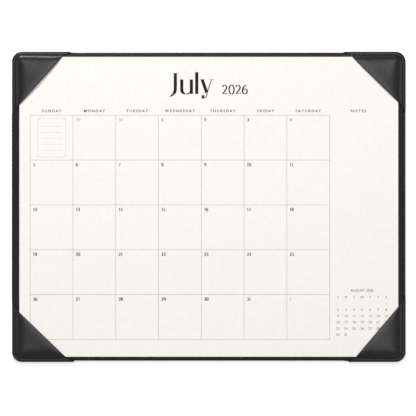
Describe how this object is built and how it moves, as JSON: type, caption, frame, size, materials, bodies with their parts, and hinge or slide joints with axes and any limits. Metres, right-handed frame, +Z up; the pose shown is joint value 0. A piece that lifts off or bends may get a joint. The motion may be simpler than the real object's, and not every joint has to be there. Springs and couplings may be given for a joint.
{
  "type": "desk pad calendar",
  "caption": "Flat stitched holder with corner pockets for a bound pad of calendar sheets; the pad shifts in the pockets and the top sheet lifts from its near edge.",
  "frame": {"origin": "on the desk, under the middle of the holder", "axes": "+X to the reader's right, +Y away from the reader towards the bound edge, +Z up from the desk"},
  "size_m": [0.5676, 0.4472, 0.0095],
  "materials": {
    "leatherette": "semi-gloss, fine grain",
    "core_board": "grey board",
    "underlay": "matte, soft",
    "lining_cloth": "smooth woven cloth",
    "thread": "twisted polyester thread",
    "backing_card": "grey board",
    "padding_glue": "clear, dull",
    "paper": "uncoated, cream white"
  },
  "bodies": {
    "holder": {"base_board": "core_board", "top_cover": "leatherette", "non_slip_underlay": "underlay", "pocket_leather_back_left": "leatherette", "pocket_stiffener_back_left": "core_board", "pocket_lining_back_left": "lining_cloth", "needle_thread_back_left": "thread", "bobbin_thread_back_left": "thread", "pocket_leather_back_right": "leatherette", "pocket_stiffener_back_right": "core_board", "pocket_lining_back_right": "lining_cloth", "needle_thread_back_right": "thread", "bobbin_thread_back_right": "thread", "pocket_leather_front_left": "leatherette", "pocket_stiffener_front_left": "core_board", "pocket_lining_front_left": "lining_cloth", "needle_thread_front_left": "thread", "bobbin_thread_front_left": "thread", "pocket_leather_front_right": "leatherette", "pocket_stiffener_front_right": "core_board", "pocket_lining_front_right": "lining_cloth", "needle_thread_front_right": "thread", "bobbin_thread_front_right": "thread"},
    "calendar_pad": {"backing_card": "backing_card", "binding_glue": "padding_glue", "sheet_02_august": "paper", "sheet_03_september": "paper", "sheet_04_october": "paper", "sheet_05_november": "paper", "sheet_06_december": "paper", "sheet_07_january": "paper", "sheet_08_february": "paper", "sheet_09_march": "paper", "sheet_10_april": "paper", "sheet_11_may": "paper", "sheet_12_june": "paper", "sheet_01_july_bound_end": "paper"},
    "top_sheet": {"sheet_01_july_free_end": "paper"}
  },
  "joints": [
    {"name": "pad_slide", "type": "slide", "parent": "holder", "child": "calendar_pad", "axis": [1, 0, 0], "range_m": [-0.0012, 0.0012]},
    {"name": "sheet_lift", "type": "hinge", "parent": "calendar_pad", "child": "top_sheet", "pos_m": [0, 0.14, 0.00743], "axis": [-1, 0, 0], "range_deg": [0, 150], "deforming": ["sheet_01_july_free_end"]}
  ]
}
